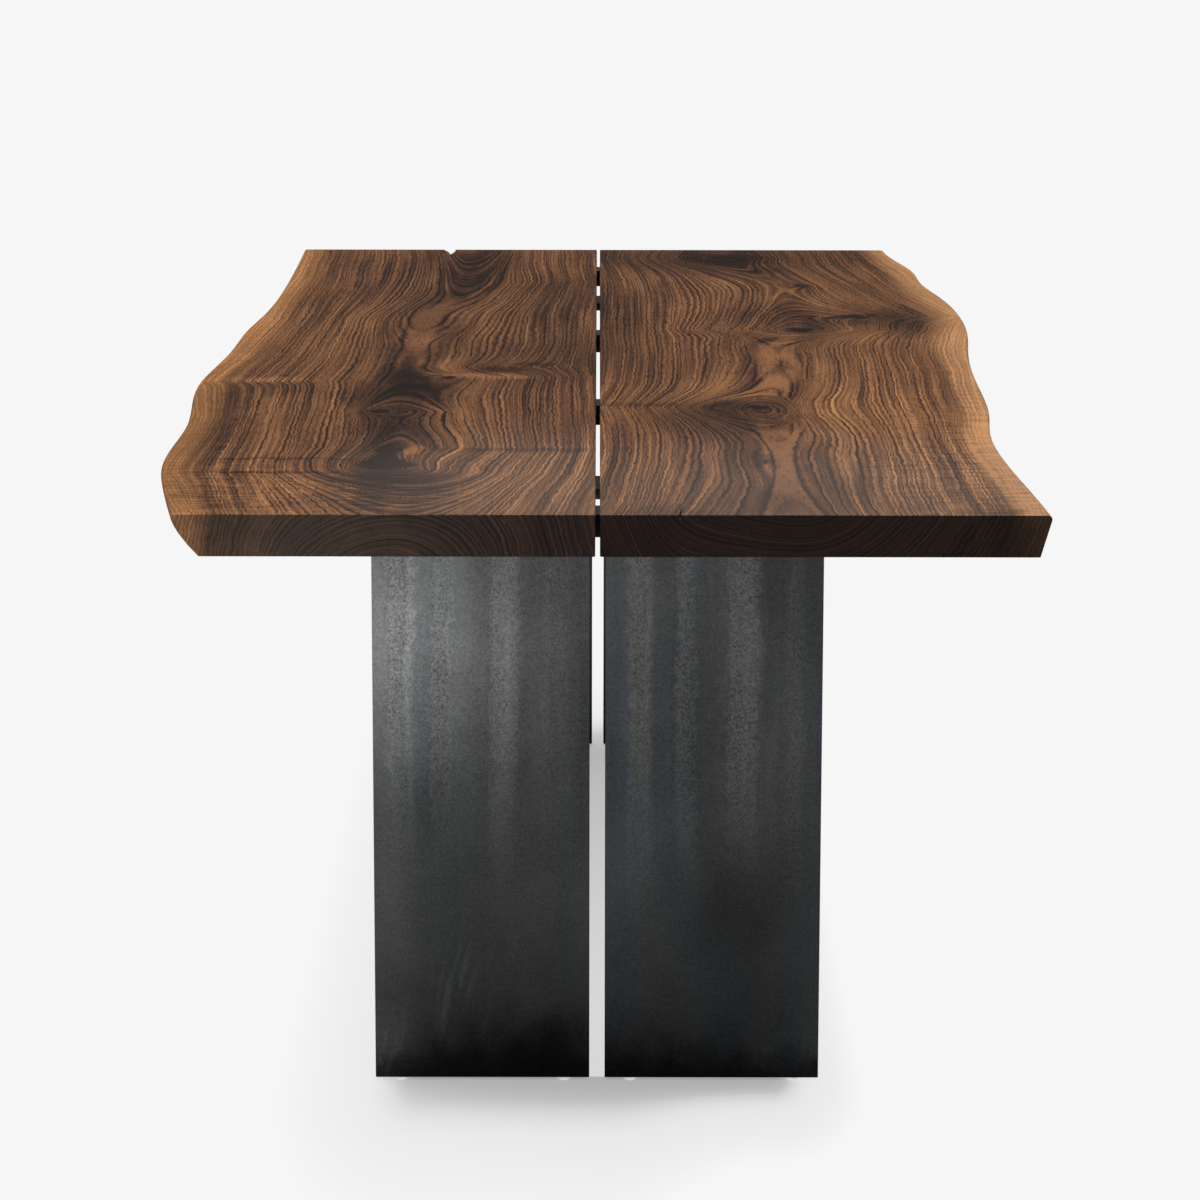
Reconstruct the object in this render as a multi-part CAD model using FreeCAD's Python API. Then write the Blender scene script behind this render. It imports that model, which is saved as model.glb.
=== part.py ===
import FreeCAD, Part
import os

Vector = FreeCAD.Vector

# Plank table: two walnut planks with live outer edges lie side by side on two pairs of upright steel
# plates. Millimetres. The floor is Z = 0, the length lies along Y and the front end faces -Y.

# Planks
table_length = 2200.0
table_height = 750.0
plank_width = 500.0
plank_thickness = 45.0
plank_gap = 5.0
plank_bevel = 1.0
live_edge_round = 4.0

# Live edges: (share of the length from the front end, how far the edge swells past plank_width)
left_swell = [(0.0, -54.0), (0.085, -22.0), (0.13, -9.5), (0.25, -7.5), (0.375, 10.5), (0.5, -2.0),
              (0.585, -5.5), (0.66, -15.5), (0.8, -21.5), (1.0, -15.0)]
right_swell = [(0.0, -22.5), (0.1, -32.0), (0.17, -37.5), (0.23, -34.0), (0.29, -21.0), (0.39, -12.0),
               (0.5, 1.0), (0.6, 21.0), (0.66, 24.5), (0.75, 14.0), (0.82, -1.0), (0.875, -2.0),
               (0.93, -16.0), (1.0, -29.5)]

# How far each live edge draws in at the underside: at the front end, the middle and the back end.
# A bow of 1 is a straight slope, and more is rounder.
left_undercut = (30.0, 23.0, 26.0)
right_undercut = (13.0, 18.0, 15.0)
left_bow = 1.5
right_bow = 1.0

# Natural splits: an open one at the back end of the left plank, a fine one at the right plank's front end
notch_from_gap = 244.0
notch_width = 20.0
notch_length = 63.0
notch_lean = 3.5
crack_from_gap = 84.0
crack_width = 2.0
crack_length = 52.0
crack_lean = 4.0
crack_depth = 5.0

# Leg plates, each pair welded under a flat head bar that is let in flush with the underside
leg_width = 252.0
leg_thickness = 12.0
leg_gap = 18.0
leg_inset = 345.0
leg_bevel = 0.8
head_overhang = 41.0
head_width = 80.0
head_thickness = 12.0
weld_size = 5.0
weld_inset = 8.0

# Channels let into the underside, open side down
channel_length = 780.0
channel_width = 50.0
channel_height = 25.0
channel_wall = 5.0
channel_fillet = 3.0
channel_recess = 3.0
end_channel_inset = 112.0
mid_channel_offset = 297.0

# Grooves routed in the planks for the head bars and the channels
groove_side_clear = 0.3
groove_end_clear = 8.0
groove_corner_radius = 6.0

# Bolts through the head bars
head_bolt_diameter = 8.0
head_bolt_engagement = 12.0
head_cap_diameter = 14.0
head_cap_height = 4.4
head_cap_bevel = 1.6
head_socket_width = 5.0
head_socket_depth = 2.4
head_washer_diameter = 20.0
head_washer_thickness = 2.0
head_slot_width = 9.0
head_slot_length = 19.0
head_insert_diameter = 12.0
head_insert_length = 15.0
head_bolt_inset = 52.0
head_bolt_row_offset = 23.0

# Bolts through the channels
channel_bolt_diameter = 6.0
channel_bolt_engagement = 9.0
channel_cap_diameter = 10.5
channel_cap_height = 3.3
channel_cap_bevel = 1.2
channel_socket_width = 4.0
channel_socket_depth = 1.9
channel_washer_diameter = 14.0
channel_washer_thickness = 1.5
channel_slot_width = 7.0
channel_slot_length = 15.0
channel_insert_diameter = 10.0
channel_insert_length = 12.0
channel_bolt_from_gap = 60.0
channel_bolt_from_end = 60.0

# Levelling glides: a pad on a threaded stud, two under each leg plate
glide_pad_diameter = 13.0
glide_pad_height = 2.7
glide_pad_bevel = 0.6
glide_gap = 0.3
glide_stud_diameter = 6.0
glide_stud_length = 20.0
glide_seat_depth = 1.5
glide_inset = 30.0
glide_hole_spare = 2.0
thread_clear = 0.05

# Places that follow from the sizes above
underside = table_height - plank_thickness
half_length = table_length / 2
inner_edge = plank_gap / 2
leg_bottom = glide_pad_height + glide_gap
leg_near = leg_gap / 2
leg_far = leg_near + leg_width
head_length = 2 * (leg_far + head_overhang)
leg_centre = half_length - leg_inset - leg_thickness / 2
channel_base = underside + channel_recess
channel_top = channel_base + channel_height
head_top = underside + head_thickness
# How far a cutting tool runs past the face that it cuts, and how far apart two equal places may be
overrun = 10.0
same_place = 0.01

sides = {"left": -1, "right": 1}
ends = {"front": -1, "back": 1}
channel_places = {
    "front_end": end_channel_inset - half_length,
    "front_mid": -mid_channel_offset,
    "back_mid": mid_channel_offset,
    "back_end": half_length - end_channel_inset,
}


def block(x0, x1, y0, y1, z0, z1):
    corner = Vector(min(x0, x1), min(y0, y1), min(z0, z1))
    return Part.makeBox(abs(x1 - x0), abs(y1 - y0), abs(z1 - z0), corner)


def rod(x, y, z0, z1, diameter):
    return Part.makeCylinder(diameter / 2, z1 - z0, Vector(x, y, z0))


def prism(points, along):
    return Part.Face(Part.makePolygon(points + points[:1])).extrude(along)


def upright_edges(shape):
    return [edge for edge in shape.Edges if abs(edge.tangentAt(edge.FirstParameter).z) > 0.99]


def slot(x, y, z0, z1, length, width):
    reach = (length - width) / 2
    middle = block(x - reach, x + reach, y - width / 2, y + width / 2, z0, z1)
    round_ends = [rod(x - reach, y, z0, z1, width), rod(x + reach, y, z0, z1, width)]
    return middle.fuse(round_ends).removeSplitter()


def undercut_at(undercut, share):
    front, middle, back = undercut
    return (front * (1 - share) * (1 - 2 * share) + middle * 4 * share * (1 - share)
            + back * share * (2 * share - 1))


def live_edge_waste(side, swell, undercut, bow):
    """The wood outside a plank's live edge, behind one smooth face through curves at several heights."""
    height_steps = 6
    curves = []
    for step in range(height_steps):
        depth = (plank_thickness + 2 * overrun) * step / (height_steps - 1) - overrun
        points = []
        for share, bulge in swell:
            drawn_in = undercut_at(undercut, share) * (max(depth, 0.0) / plank_thickness) ** bow
            x = side * (inner_edge + plank_width + bulge - drawn_in)
            y = (share - 0.5) * (table_length + 2 * overrun)
            points.append(Vector(x, y, table_height - depth))
        curve = Part.BSplineCurve()
        curve.interpolate(points)
        curves.append(Part.Wire([curve.toShape()]))
    face = Part.makeLoft(curves[::side]).Faces[0]
    return face.extrude(Vector(side * plank_width, 0, 0))


def plank_blank(side):
    """The sawn board before its live edge: square, with a small bevel on all but its outer edges."""
    outer = side * plank_width * 1.5
    board = block(side * inner_edge, outer, -half_length, half_length, underside, table_height)
    sawn = [edge for edge in board.Edges if abs(edge.CenterOfMass.x - outer) > same_place]
    return board.makeChamfer(plank_bevel, sawn)


def live_arris(plank):
    """The long curved edge where the top meets the live edge."""
    return [edge for edge in plank.Edges
            if abs(edge.BoundBox.ZMin - table_height) < same_place
            and edge.BoundBox.YLength > table_length / 2
            and abs(edge.CenterOfMass.x) > plank_width / 2]


def groove(y, width, length, top):
    half_width = width / 2 + groove_side_clear
    half = length / 2 + groove_end_clear
    cutter = block(-half, half, y - half_width, y + half_width, underside - overrun, top)
    return cutter.makeFillet(groove_corner_radius, upright_edges(cutter))


def open_notch():
    """A natural split that opens at the back end and closes to a point, right through the plank."""
    x = -inner_edge - notch_from_gap
    tip = Vector(x + notch_lean, half_length - notch_length, underside - overrun)
    left = Vector(x - notch_width / 2, half_length, underside - overrun)
    right = Vector(x + notch_width / 2, half_length, underside - overrun)
    back = Vector(0, overrun, 0)
    bow = notch_width / 8
    left_flank = Part.Arc(left, (left + tip) / 2 + Vector(bow, 0, 0), tip).toShape()
    right_flank = Part.Arc(tip, (right + tip) / 2 + Vector(bow, 0, 0), right).toShape()
    mouth = Part.makePolygon([right, right + back, left + back, left])
    outline = Part.Wire([left_flank, right_flank] + mouth.Edges)
    return Part.Face(outline).extrude(Vector(0, 0, plank_thickness + 2 * overrun))


def end_crack():
    """A fine drying split that runs back from the front end and a little way down its face."""
    x = inner_edge + crack_from_gap
    z = table_height + overrun
    floor = Vector(0, 0, -crack_depth - overrun)
    front = -half_length - overrun
    points = [Vector(x - crack_width / 2, front, z), Vector(x + crack_width / 2, front, z),
              Vector(x + crack_width / 2, -half_length, z),
              Vector(x + crack_lean, crack_length - half_length, z),
              Vector(x - crack_width / 2, -half_length, z)]
    return prism(points, floor)


def head_bolt_places(end, side):
    """Two bolts in front of a leg plate and two behind it, set in from its side edges."""
    return [(side * x, end * leg_centre + row * head_bolt_row_offset)
            for x in (leg_near + head_bolt_inset, leg_far - head_bolt_inset) for row in (-1, 1)]


def channel_bolt_places(y, side):
    """One bolt near the gap and one near the channel's end."""
    return [(side * (inner_edge + channel_bolt_from_gap), y),
            (side * (channel_length / 2 - channel_bolt_from_end), y)]


def plank(side, swell, undercut, bow, split):
    blank = plank_blank(side)
    outline = block(side * inner_edge, side * plank_width * 1.5, -half_length, half_length,
                    underside, table_height).cut(live_edge_waste(side, swell, undercut, bow))
    rounded = outline.makeFillet(live_edge_round, live_arris(outline))
    cutters = [split]
    for end in ends.values():
        cutters.append(groove(end * leg_centre, head_width, head_length, head_top))
        bore = head_insert_diameter + 2 * thread_clear
        for x, y in head_bolt_places(end, side):
            cutters.append(rod(x, y, head_top - overrun, head_top + head_insert_length, bore))
    for place in channel_places.values():
        cutters.append(groove(place, channel_width, channel_length, channel_top))
        bore = channel_insert_diameter + 2 * thread_clear
        for x, y in channel_bolt_places(place, side):
            cutters.append(rod(x, y, channel_top - overrun, channel_top + channel_insert_length, bore))
    return rounded.common(blank).cut(cutters)


def leg_plate(end, side):
    y = end * leg_centre
    half = leg_thickness / 2
    plate = block(side * leg_near, side * leg_far, y - half, y + half, leg_bottom, underside)
    plate = plate.makeChamfer(leg_bevel, upright_edges(plate))
    hole_top = leg_bottom + glide_stud_length + glide_hole_spare
    bore = glide_stud_diameter + 2 * thread_clear
    return plate.cut([rod(x, y, leg_bottom - overrun, hole_top, bore) for x in glide_places(side).values()])


def glide_places(side):
    return {"inner": side * (leg_near + glide_inset), "outer": side * (leg_far - glide_inset)}


def leg_head(end):
    y = end * leg_centre
    reach, half = head_length / 2, head_width / 2
    bar = block(-reach, reach, y - half, y + half, underside, head_top)
    low, high = underside - overrun, head_top + overrun
    slots = [slot(bolt_x, bolt_y, low, high, head_slot_length, head_slot_width)
             for side in sides.values() for bolt_x, bolt_y in head_bolt_places(end, side)]
    return bar.cut(slots)


def leg_welds(end):
    """A fillet weld along both faces of each plate, where it meets the head bar."""
    beads = []
    for side in sides.values():
        start = side * (leg_near + weld_inset)
        run = Vector(side * (leg_width - 2 * weld_inset), 0, 0)
        for face in (-1, 1):
            y = end * leg_centre + face * leg_thickness / 2
            corner = Vector(start, y, underside)
            toe = Vector(start, y + face * weld_size, underside)
            root = Vector(start, y, underside - weld_size)
            beads.append(prism([corner, toe, root], run))
    return Part.makeCompound(beads)


def channel(y):
    half = channel_width / 2
    inside = half - channel_wall
    web = channel_top - channel_wall
    x = -channel_length / 2
    profile = [Vector(x, y - half, channel_base), Vector(x, y - half, channel_top),
               Vector(x, y + half, channel_top), Vector(x, y + half, channel_base),
               Vector(x, y + inside, channel_base), Vector(x, y + inside, web),
               Vector(x, y - inside, web), Vector(x, y - inside, channel_base)]
    bar = prism(profile, Vector(channel_length, 0, 0))
    corners = [edge for edge in bar.Edges
               if edge.BoundBox.XLength > channel_length / 2
               and abs(edge.CenterOfMass.z - web) < same_place]
    bar = bar.makeFillet(channel_fillet, corners)
    low, high = web - overrun, channel_top + overrun
    slots = [slot(bolt_x, bolt_y, low, high, channel_slot_length, channel_slot_width)
             for side in sides.values() for bolt_x, bolt_y in channel_bolt_places(y, side)]
    return bar.cut(slots)


def washer(x, y, top, thickness, outer, hole):
    return rod(x, y, top - thickness, top, outer).cut(rod(x, y, top - thickness, top, hole))


def bolt(x, y, seat, shank_length, diameter, cap, cap_height, cap_bevel, socket, socket_depth):
    """A bolt pointing up, its cap below the seat, with a bevelled rim and a six-sided socket."""
    head = rod(x, y, seat - cap_height, seat, cap)
    rim = [edge for edge in head.Edges
           if edge.Closed and abs(edge.CenterOfMass.z - seat + cap_height) < same_place]
    head = head.makeChamfer(cap_bevel, rim)
    corner = Vector(socket / 3 ** 0.5, 0, seat - cap_height)
    turn = FreeCAD.Rotation(Vector(0, 0, 1), 60)
    points = [corner]
    for _ in range(5):
        points.append(turn.multVec(points[-1]))
    recess = prism([point + Vector(x, y, 0) for point in points], Vector(0, 0, socket_depth))
    return head.cut(recess).fuse(rod(x, y, seat, seat + shank_length, diameter)).removeSplitter()


def head_fasteners():
    """Bolts, washers and threaded inserts that hold the planks to the head bars."""
    bolts, washers, inserts = [], [], []
    seat = underside - head_washer_thickness
    shank = head_washer_thickness + head_thickness + head_bolt_engagement
    hole = head_bolt_diameter + 2 * thread_clear
    places = [place for end in ends.values() for side in sides.values()
              for place in head_bolt_places(end, side)]
    for x, y in places:
        bolts.append(bolt(x, y, seat, shank, head_bolt_diameter, head_cap_diameter, head_cap_height,
                          head_cap_bevel, head_socket_width, head_socket_depth))
        washers.append(washer(x, y, underside, head_washer_thickness, head_washer_diameter, hole))
        inserts.append(washer(x, y, head_top + head_insert_length, head_insert_length,
                              head_insert_diameter, hole))
    return {"head_bolts": bolts, "head_washers": washers, "head_inserts": inserts}


def channel_fasteners():
    """Bolts, washers and threaded inserts that hold the channels up in their grooves."""
    bolts, washers, inserts = [], [], []
    web = channel_top - channel_wall
    seat = web - channel_washer_thickness
    shank = channel_washer_thickness + channel_wall + channel_bolt_engagement
    hole = channel_bolt_diameter + 2 * thread_clear
    places = [place for y in channel_places.values() for side in sides.values()
              for place in channel_bolt_places(y, side)]
    for x, y in places:
        bolts.append(bolt(x, y, seat, shank, channel_bolt_diameter, channel_cap_diameter,
                          channel_cap_height, channel_cap_bevel, channel_socket_width,
                          channel_socket_depth))
        washers.append(washer(x, y, web, channel_washer_thickness, channel_washer_diameter, hole))
        inserts.append(washer(x, y, channel_top + channel_insert_length, channel_insert_length,
                              channel_insert_diameter, hole))
    return {"channel_bolts": bolts, "channel_washers": washers, "channel_inserts": inserts}


def glide_pad(x, y):
    pad = rod(x, y, 0, glide_pad_height, glide_pad_diameter)
    lower_rim = [edge for edge in pad.Edges if edge.BoundBox.ZMax < glide_pad_bevel]
    pad = pad.makeChamfer(glide_pad_bevel, lower_rim)
    seat = rod(x, y, glide_pad_height - glide_seat_depth, glide_pad_height + overrun,
               glide_stud_diameter + 2 * thread_clear)
    return pad.cut(seat)


def glide_stud(x, y):
    foot = glide_pad_height - glide_seat_depth
    return rod(x, y, foot, foot + glide_stud_length, glide_stud_diameter)


def export(shape, node):
    shape.exportStep("parts/" + node + ".step")


os.makedirs("parts", exist_ok=True)

export(plank(sides["left"], left_swell, left_undercut, left_bow, open_notch()), "plank_left")
export(plank(sides["right"], right_swell, right_undercut, right_bow, end_crack()), "plank_right")

for end_name, end in ends.items():
    export(leg_head(end), "leg_head_" + end_name)
    export(leg_welds(end), "leg_welds_" + end_name)
    for side_name, side in sides.items():
        corner_name = end_name + "_" + side_name
        export(leg_plate(end, side), "leg_plate_" + corner_name)
        for place_name, x in glide_places(side).items():
            export(glide_pad(x, end * leg_centre), "glide_pad_" + corner_name + "_" + place_name)
            export(glide_stud(x, end * leg_centre), "glide_stud_" + corner_name + "_" + place_name)

for place_name, y in channel_places.items():
    export(channel(y), "channel_" + place_name)

for fasteners in (head_fasteners(), channel_fasteners()):
    for node, solids in fasteners.items():
        export(Part.makeCompound(solids), node)
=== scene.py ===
import math

import bpy
from mathutils import Matrix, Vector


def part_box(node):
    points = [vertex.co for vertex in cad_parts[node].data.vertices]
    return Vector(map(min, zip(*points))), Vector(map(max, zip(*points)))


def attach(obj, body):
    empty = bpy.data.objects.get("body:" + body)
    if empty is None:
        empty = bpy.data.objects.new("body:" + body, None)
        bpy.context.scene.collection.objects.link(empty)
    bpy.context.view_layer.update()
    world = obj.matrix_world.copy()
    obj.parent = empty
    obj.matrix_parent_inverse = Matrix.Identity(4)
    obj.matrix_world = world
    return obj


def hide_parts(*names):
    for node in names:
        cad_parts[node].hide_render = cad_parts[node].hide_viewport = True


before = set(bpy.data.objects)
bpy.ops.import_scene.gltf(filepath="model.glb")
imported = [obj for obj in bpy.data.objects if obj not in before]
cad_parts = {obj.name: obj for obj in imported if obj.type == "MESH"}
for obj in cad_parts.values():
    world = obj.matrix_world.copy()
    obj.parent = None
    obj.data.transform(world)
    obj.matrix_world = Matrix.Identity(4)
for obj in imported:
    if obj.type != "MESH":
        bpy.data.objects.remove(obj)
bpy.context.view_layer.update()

# Planks: two boards of oiled walnut, each sawn flat beside the heart of its log. The outer edge is left as
# it grew and sanded smooth, and the ends are sawn square. They lie side by side with a narrow gap.


def feed(tree, entry, value):
    """Joins an output to a node's input, or sets the input to a plain value."""
    if isinstance(value, bpy.types.NodeSocket):
        tree.links.new(value, entry)
    else:
        entry.default_value = value


def add_node(tree, kind, settings=None, **inputs):
    """A new shader node. Inputs are named with _ for each space."""
    made = tree.nodes.new("ShaderNode" + kind)
    for name, value in (settings or {}).items():
        setattr(made, name, value)
    for name, value in inputs.items():
        feed(tree, made.inputs[name.replace("_", " ")], value)
    return made


def calc(tree, operation, *terms):
    """One step of arithmetic."""
    made = add_node(tree, "Math", {"operation": operation})
    for entry, term in zip(made.inputs, terms):
        feed(tree, entry, term)
    return made.outputs[0]


def fade(tree, value, low, high):
    """Rises smoothly from 0 at low to 1 at high."""
    made = add_node(tree, "MapRange", {"interpolation_type": "SMOOTHSTEP"},
                    Value=value, From_Min=low, From_Max=high)
    return made.outputs[0]


def spread(tree, value, low, high):
    """Stretches a value of 0 to 1 so that it runs from low to high."""
    return calc(tree, "MULTIPLY_ADD", value, high - low, low)


def choose(tree, share, first, second):
    """The first number at share 0 and the second at share 1."""
    made = tree.nodes.new("ShaderNodeMix")
    feed(tree, made.inputs[0], share)
    feed(tree, made.inputs[2], first)
    feed(tree, made.inputs[3], second)
    return made.outputs[0]


def blend(tree, share, first, second, mode="MIX"):
    """The first colour at share 0 and the second at share 1."""
    made = tree.nodes.new("ShaderNodeMix")
    made.data_type = "RGBA"
    made.blend_type = mode
    feed(tree, made.inputs[0], share)
    feed(tree, made.inputs[6], first)
    feed(tree, made.inputs[7], second)
    return made.outputs[2]


def shade(tree, colour, factor):
    """A colour made lighter or darker by a factor."""
    grey = add_node(tree, "CombineColor", Red=factor, Green=factor, Blue=factor).outputs[0]
    return blend(tree, 1.0, colour, grey, "MULTIPLY")


def noise(tree, position, patch_size, detail=2.0):
    """Cloudy noise of 0 to 1, with patches of about that size in millimetres along X, Y and Z."""
    stretched = add_node(tree, "VectorMath", {"operation": "DIVIDE"})
    feed(tree, stretched.inputs[0], position)
    feed(tree, stretched.inputs[1], patch_size)
    return add_node(tree, "TexNoise", Vector=stretched.outputs[0], Scale=1.0, Detail=detail).outputs[0]


def swing(tree, position, patch_size, detail=2.0):
    """Cloudy noise that swings to both sides of 0."""
    return calc(tree, "SUBTRACT", noise(tree, position, patch_size, detail), 0.5)


def drift(tree, value, patch_size, detail=1.0):
    """Noise of 0 to 1 along one value."""
    return add_node(tree, "TexNoise", {"noise_dimensions": "1D"}, W=calc(tree, "DIVIDE", value, patch_size),
                    Scale=1.0, Detail=detail).outputs[0]


def new_group(name, inputs, outputs):
    """An empty node group, with its inner entries and exits by name."""
    tree = bpy.data.node_groups.new(name, "ShaderNodeTree")
    kinds = {"value": "NodeSocketFloat", "vector": "NodeSocketVector", "colour": "NodeSocketColor"}
    for socket, kind in inputs.items():
        tree.interface.new_socket(socket, in_out="INPUT", socket_type=kinds[kind])
    for socket, kind in outputs.items():
        tree.interface.new_socket(socket, in_out="OUTPUT", socket_type=kinds[kind])
    return tree, tree.nodes.new("NodeGroupInput").outputs, tree.nodes.new("NodeGroupOutput").inputs


def use_group(tree, group, **inputs):
    """Places a node group in a material and gives its outputs."""
    return add_node(tree, "Group", {"node_tree": group}, **inputs).outputs


def screen(red, green, blue):
    """A colour as it looks on a screen, 0 to 255, as the linear colour that a shader takes."""
    parts = [value / 255 for value in (red, green, blue)]
    return [p / 12.92 if p <= 0.04045 else ((p + 0.055) / 1.055) ** 2.4 for p in parts] + [1.0]


def new_material(name):
    """A material with its node tree and its shader."""
    made = bpy.data.materials.new(name)
    made.use_nodes = True
    return made, made.node_tree, made.node_tree.nodes["Principled BSDF"]


def millimetres(tree):
    """The piece's own coordinates in millimetres."""
    place = add_node(tree, "TexCoord").outputs["Object"]
    scaled = add_node(tree, "VectorMath", {"operation": "SCALE"}, Scale=1000.0)
    feed(tree, scaled.inputs[0], place)
    return scaled.outputs[0]


def emboss(tree, shader, height, strength, depth):
    """Raises the surface by a pattern of height, with its depth in metres."""
    bump = add_node(tree, "Bump", Strength=strength, Distance=depth, Height=height)
    feed(tree, shader.inputs["Normal"], bump.outputs[0])


def dress(nodes, material):
    """Gives CAD nodes a material in place of their own."""
    for name in nodes:
        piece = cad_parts[name]
        piece.data.materials.clear()
        piece.data.materials.append(material)


# How far the grain swells round a branch: a ridge across the grain that falls away from its centre line
bulge_group, entry, leave = new_group(
    "grain_bulge",
    {"Position": "vector", "Across": "value", "Along": "value", "Left": "value", "Right": "value",
     "Front": "value", "Back": "value"},
    {"Bulge": "value"})
place = add_node(bulge_group, "SeparateXYZ", Vector=entry["Position"]).outputs
across = calc(bulge_group, "SUBTRACT", place["X"], entry["Across"])
along = calc(bulge_group, "SUBTRACT", place["Y"], entry["Along"])
to_right = calc(bulge_group, "GREATER_THAN", across, 0.0)
to_back = calc(bulge_group, "GREATER_THAN", along, 0.0)
reach_across = choose(bulge_group, to_right, entry["Left"], entry["Right"])
reach_along = choose(bulge_group, to_back, entry["Front"], entry["Back"])
across = calc(bulge_group, "DIVIDE", across, reach_across)
ridge_round = 7.0
along = calc(bulge_group, "SQRT", calc(bulge_group, "MULTIPLY_ADD", along, along, ridge_round ** 2))
along = calc(bulge_group, "DIVIDE", calc(bulge_group, "SUBTRACT", along, ridge_round), reach_along)
fall = calc(bulge_group, "MULTIPLY_ADD", across, across, along)
feed(bulge_group, leave["Bulge"], calc(bulge_group, "EXPONENT", calc(bulge_group, "MULTIPLY", fall, -1.0)))

# Distance from the middle of a knot or a pale eye: 0 at its centre and 1 at its rim
eye_group, entry, leave = new_group(
    "grain_eye",
    {"Position": "vector", "Across": "value", "Along": "value", "Half Width": "value",
     "Half Length": "value"},
    {"Distance": "value"})
place = add_node(eye_group, "SeparateXYZ", Vector=entry["Position"]).outputs
across = calc(eye_group, "SUBTRACT", place["X"], entry["Across"])
across = calc(eye_group, "DIVIDE", across, entry["Half Width"])
along = calc(eye_group, "SUBTRACT", place["Y"], entry["Along"])
along = calc(eye_group, "DIVIDE", along, entry["Half Length"])
square = calc(eye_group, "MULTIPLY_ADD", across, across, calc(eye_group, "MULTIPLY", along, along))
feed(eye_group, leave["Distance"], calc(eye_group, "SQRT", square))

# Walnut: brown rings that end in thin dark lines, grouped in lighter and darker streaks, with dark stains,
# pale sapwood, fine pores along the grain, a faint ripple across it and a painted grey sheen in places
ring_pitch = 5.0
line_sharpness = 5.5
line_depth = 1.15
base_tone = 0.4
painted_sheen_grey = screen(126, 114, 108)
walnut_tones = [(0.0, screen(196, 142, 99)), (0.22, screen(154, 109, 75)), (0.42, screen(124, 88, 64)),
                (0.6, screen(96, 69, 54)), (0.8, screen(70, 54, 47)), (1.0, screen(48, 42, 39))]
grain, entry, leave = new_group(
    "walnut",
    {"Position": "vector", "Ring": "value", "Stain": "value", "Pale": "value", "Sapwood": "value",
     "Ripple": "value", "Bloom": "value", "Live Edge": "value", "End Grain": "value", "End Dark": "value",
     "End Tone": "colour", "Sap Tone": "colour"},
    {"Colour": "colour", "Roughness": "value", "Height": "value"})
position = entry["Position"]
along = add_node(grain, "SeparateXYZ", Vector=position).outputs["Y"]
ring_place = entry["Ring"]
in_rings = add_node(grain, "CombineXYZ", X=ring_place, Y=along).outputs[0]
uneven = calc(grain, "MULTIPLY_ADD", drift(grain, ring_place, 26.0), 12.0, ring_place)
ring = calc(grain, "DIVIDE", uneven, ring_pitch)
ring_share = calc(grain, "FRACT", ring)
ring_number = calc(grain, "FLOOR", ring)
ring_strength = add_node(grain, "TexWhiteNoise", {"noise_dimensions": "1D"}, W=ring_number).outputs[0]
line = calc(grain, "POWER", ring_share, line_sharpness)
line = calc(grain, "MULTIPLY", line, spread(grain, ring_strength, 0.15, 1.0))
line = calc(grain, "MULTIPLY", line, fade(grain, noise(grain, position, (14.0, 320.0, 14.0)), 0.22, 0.55))
fine_streak = calc(grain, "MULTIPLY", swing(grain, in_rings, (2.8, 560.0, 1.0), 5.0), 1.45)
broad_streak = calc(grain, "MULTIPLY", swing(grain, in_rings, (24.0, 700.0, 1.0), 3.0), 0.5)
streaks = calc(grain, "ADD", fine_streak, broad_streak)
streaks = calc(grain, "MULTIPLY_ADD", line, line_depth, streaks)
# How strong the streaks stay in pale wood, in a deep stain, on the live edge and under the painted sheen
deep_stain = fade(grain, entry["Stain"], 0.7, 1.4)
calm = calc(grain, "MULTIPLY_ADD", entry["Pale"], -0.8, 1.0)
for feature, kept in ((deep_stain, 0.35), (entry["Live Edge"], 0.12), (entry["Bloom"], 1.55)):
    calm = calc(grain, "MULTIPLY", calm, spread(grain, feature, 1.0, kept))
streaks = calc(grain, "MULTIPLY", streaks, calm)
skin = calc(grain, "SUBTRACT", noise(grain, position, (14.0, 150.0, 5.0), 4.0), 0.4)
streaks = calc(grain, "MULTIPLY_ADD", calc(grain, "MULTIPLY", skin, entry["Live Edge"]), 1.8, streaks)
pores = fade(grain, noise(grain, position, (1.6, 30.0, 1.6), 2.0), 0.54, 0.7)
ripple = calc(grain, "MULTIPLY", swing(grain, position, (36.0, 8.0, 36.0), 3.0), entry["Ripple"])
ripple = calc(grain, "MULTIPLY", ripple, spread(grain, entry["Live Edge"], 1.0, 0.15))
patch = swing(grain, position, (120.0, 380.0, 120.0), 3.0)
tone = calc(grain, "ADD", streaks, calc(grain, "MULTIPLY_ADD", patch, 0.45, base_tone))
# Each feature darkens the tone by its depth, or lightens it where the depth is negative
for feature, depth in ((entry["Stain"], 0.45), (entry["Sapwood"], -0.3), (entry["Pale"], -0.08),
                       (pores, 0.25), (ripple, 0.6)):
    tone = calc(grain, "MULTIPLY_ADD", feature, depth, tone)
tones = add_node(grain, "ValToRGB", Fac=tone)
ramp = tones.color_ramp.elements
while len(ramp) < len(walnut_tones):
    ramp.new(0.5)
for stop, (share, colour) in zip(ramp, walnut_tones):
    stop.position = share
    stop.color = colour
sap_share = calc(grain, "MULTIPLY", entry["Sapwood"], spread(grain, entry["Live Edge"], 0.45, 0.2))
colour = blend(grain, sap_share, tones.outputs[0], entry["Sap Tone"])
hatch = calc(grain, "MULTIPLY_ADD", calc(grain, "MULTIPLY", ripple, entry["Sapwood"]), -0.4, 1.0)
colour = shade(grain, colour, hatch)
# Painted sheen: a grey veil of painted light over the wood where the sheen spots lie
colour = blend(grain, calc(grain, "MULTIPLY", entry["Bloom"], 0.34), colour, painted_sheen_grey)
# End grain: drawn towards its end tone and darkened, partly the darker colour of end grain, partly painted
# shade
end_colour = blend(grain, entry["End Dark"], colour, entry["End Tone"])
end_colour = shade(grain, end_colour, spread(grain, tone, 1.2, 0.84))
colour = blend(grain, entry["End Grain"], colour, end_colour)
feed(grain, leave["Colour"], colour)
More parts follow.
